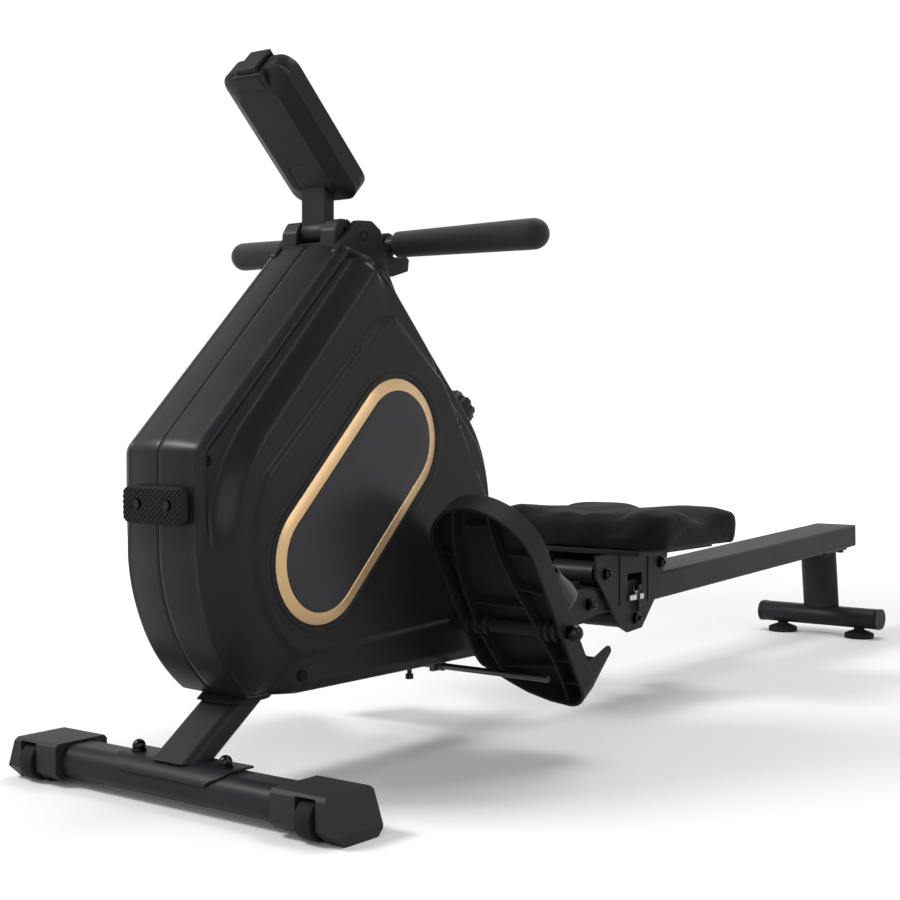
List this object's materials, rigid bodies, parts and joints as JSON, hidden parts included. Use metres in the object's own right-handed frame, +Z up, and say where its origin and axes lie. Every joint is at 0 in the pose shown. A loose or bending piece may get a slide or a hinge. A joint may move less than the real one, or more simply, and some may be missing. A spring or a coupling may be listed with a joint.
{
  "type": "rowing machine",
  "caption": "Folding magnetic rowing machine: moulded flywheel tower, pull handle, pivoting footplates, sliding saddle seat on a steel rail that folds up, tilting console.",
  "frame": {"origin": "on the floor under the middle of the machine's length and width", "axes": "+X to the seated rower's left, +Y from the flywheel tower to the rear foot, +Z up"},
  "size_m": [0.516, 1.7228, 0.8252],
  "materials": {
    "frame_paint": "satin powder coat",
    "rail_paint": "satin powder coat",
    "carriage_paint": "satin powder coat",
    "black_bolt": "black zinc, glossy",
    "steel": "dark plated",
    "cast_iron": "machined",
    "cover_plastic": "satin moulded",
    "trim_gold": "satin gold paint",
    "panel_dark": "satin film",
    "black_plastic": "satin moulded",
    "console_plastic": "fine texture",
    "black_rubber": "matte",
    "roller_plastic": "smooth",
    "webbing": "woven",
    "foam": "closed-cell foam",
    "seat_vinyl": "matte vinyl",
    "lens": "clear over grey display"
  },
  "bodies": {
    "frame": {"front_foot_tube": "frame_paint", "front_post": "frame_paint", "frame_fasteners": "black_bolt", "front_end_caps": "black_plastic", "shafts_and_pins": "steel", "main_beam": "frame_paint", "side_plates": "frame_paint", "recoil_spring": "steel", "drive_belt": "black_rubber", "cover_left": "cover_plastic", "cover_right": "cover_plastic", "trim_rings": "trim_gold", "oval_panels": "panel_dark", "boot_collar": "black_plastic", "standing_pad": "black_rubber", "strap_outlet": "black_plastic", "handlebar_rest": "black_plastic", "stop_rod": "steel", "pedal_axle": "steel", "axle_bushes": "black_plastic", "console_bracket": "black_plastic", "pull_strap": "webbing"},
    "wheel_left": {"transport_wheel_left": "black_rubber"},
    "wheel_right": {"transport_wheel_right": "black_rubber"},
    "flywheel": {"flywheel": "cast_iron"},
    "drive_pulley": {"drive_pulley": "black_plastic"},
    "strap_spool": {"strap_spool": "black_plastic"},
    "magnet_bracket": {"magnet_bracket": "black_plastic"},
    "tension_knob": {"tension_knob": "black_plastic"},
    "fold_lock": {"fold_lock_knob": "black_plastic"},
    "pedal_left": {"footplate_left": "black_plastic", "foot_strap_left": "webbing"},
    "pedal_right": {"footplate_right": "black_plastic", "foot_strap_right": "webbing"},
    "rail": {"rail": "rail_paint", "rear_end_caps": "black_plastic", "seat_stops": "black_rubber", "rear_leg": "frame_paint", "rear_bolts": "black_bolt"},
    "foot_left": {"levelling_foot_left": "black_rubber"},
    "foot_right": {"levelling_foot_right": "black_rubber"},
    "seat": {"seat_pad": "seat_vinyl", "seat_pan": "black_plastic", "carriage_plates": "carriage_paint", "carriage_axles": "black_bolt"},
    "roller_front": {"roller_front": "roller_plastic"},
    "roller_rear": {"roller_rear": "roller_plastic"},
    "roller_lower": {"roller_lower": "roller_plastic"},
    "handlebar": {"handlebar_tube": "steel", "grips": "foam", "strap_connector": "black_plastic"},
    "console": {"console_stalk": "black_plastic", "console_rear_shell": "console_plastic", "console_bezel": "console_plastic", "display_lens": "lens", "battery_door": "black_plastic"},
    "button_mode": {"button_mode": "black_rubber"},
    "button_set": {"button_set": "black_rubber"},
    "button_reset": {"button_reset": "black_rubber"},
    "phone_clip": {"phone_clip": "black_plastic"}
  },
  "joints": [
    {"name": "rail_fold", "type": "hinge", "parent": "frame", "child": "rail", "pos_m": [0, -0.0729, 0.1454], "axis": [1, 0, 0], "range_deg": [0, 88]},
    {"name": "seat_slide", "type": "slide", "parent": "rail", "child": "seat", "axis": [0, 0.9992, 0.04], "range_m": [0, 0.6]},
    {"name": "handlebar_pull", "type": "slide", "parent": "frame", "child": "handlebar", "axis": [0, 0.9701, 0.2425], "range_m": [0, 0.9], "stiffness_N_per_m": 20, "springref_m": -0.25, "deforming": ["pull_strap"]},
    {"name": "spool_spin", "type": "hinge", "parent": "frame", "child": "strap_spool", "pos_m": [0, -0.4559, 0.3], "axis": [1, 0, 0], "continuous": true},
    {"name": "flywheel_spin", "type": "hinge", "parent": "frame", "child": "flywheel", "pos_m": [0, -0.6289, 0.29], "axis": [1, 0, 0], "continuous": true},
    {"name": "pulley_spin", "type": "hinge", "parent": "frame", "child": "drive_pulley", "pos_m": [0, -0.4559, 0.3], "axis": [1, 0, 0], "continuous": true},
    {"name": "tension_turn", "type": "hinge", "parent": "frame", "child": "tension_knob", "pos_m": [0, -0.3589, 0.402], "axis": [0, 0.7604, 0.6494], "range_deg": [0, 300]},
    {"name": "magnet_swing", "type": "hinge", "parent": "frame", "child": "magnet_bracket", "pos_m": [0, -0.7309, 0.392], "axis": [1, 0, 0], "range_deg": [0, 1]},
    {"name": "fold_lock_push", "type": "slide", "parent": "frame", "child": "fold_lock", "axis": [1, 0, 0], "range_m": [0, 0.008]},
    {"name": "console_tilt", "type": "hinge", "parent": "frame", "child": "console", "pos_m": [0, -0.5929, 0.63], "axis": [1, 0, 0], "range_deg": [-20, 20]},
    {"name": "phone_clip_slide", "type": "slide", "parent": "console", "child": "phone_clip", "axis": [0, -0.7133, 0.7009], "range_m": [0, 0.03], "stiffness_N_per_m": 150},
    {"name": "pedal_left_swing", "type": "hinge", "parent": "frame", "child": "pedal_left", "pos_m": [0.165, -0.4229, 0.162], "axis": [1, 0, 0], "range_deg": [-10, 30]},
    {"name": "wheel_left_spin", "type": "hinge", "parent": "frame", "child": "wheel_left", "pos_m": [0.212, -0.8329, 0.023], "axis": [1, 0, 0], "continuous": true},
    {"name": "foot_left_screw", "type": "hinge", "parent": "rail", "child": "foot_left", "pos_m": [0.0764, 0.8011, 0], "axis": [0, 0, 1], "continuous": true},
    {"name": "pedal_right_swing", "type": "hinge", "parent": "frame", "child": "pedal_right", "pos_m": [-0.165, -0.4229, 0.162], "axis": [1, 0, 0], "range_deg": [-10, 30]},
    {"name": "wheel_right_spin", "type": "hinge", "parent": "frame", "child": "wheel_right", "pos_m": [-0.212, -0.8329, 0.023], "axis": [1, 0, 0], "continuous": true},
    {"name": "foot_right_screw", "type": "hinge", "parent": "rail", "child": "foot_right", "pos_m": [-0.0764, 0.8011, 0], "axis": [0, 0, 1], "continuous": true},
    {"name": "roller_front_spin", "type": "hinge", "parent": "seat", "child": "roller_front", "pos_m": [0, -0.0359, 0.18527], "axis": [1, 0, 0], "continuous": true},
    {"name": "roller_rear_spin", "type": "hinge", "parent": "seat", "child": "roller_rear", "pos_m": [0, 0.1191, 0.19147], "axis": [1, 0, 0], "continuous": true},
    {"name": "roller_lower_spin", "type": "hinge", "parent": "seat", "child": "roller_lower", "pos_m": [0, 0.0461, 0.11385], "axis": [1, 0, 0], "continuous": true},
    {"name": "button_mode_press", "type": "slide", "parent": "console", "child": "button_mode", "axis": [0, -0.7009, -0.7133], "range_m": [0, 0.0015], "stiffness_N_per_m": 400},
    {"name": "button_set_press", "type": "slide", "parent": "console", "child": "button_set", "axis": [0, -0.7009, -0.7133], "range_m": [0, 0.0015], "stiffness_N_per_m": 400},
    {"name": "button_reset_press", "type": "slide", "parent": "console", "child": "button_reset", "axis": [0, -0.7009, -0.7133], "range_m": [0, 0.0015], "stiffness_N_per_m": 400}
  ],
  "couplings": [
    {"joint": "spool_spin", "follows": "handlebar_pull", "rad_per_m": 49.02},
    {"joint": "pulley_spin", "follows": "flywheel_spin", "ratio": 0.2201},
    {"joint": "magnet_swing", "follows": "tension_turn", "ratio": 0.003},
    {"joint": "roller_front_spin", "follows": "seat_slide", "rad_per_m": -55.556},
    {"joint": "roller_rear_spin", "follows": "seat_slide", "rad_per_m": -55.556},
    {"joint": "roller_lower_spin", "follows": "seat_slide", "rad_per_m": 62.5}
  ]
}
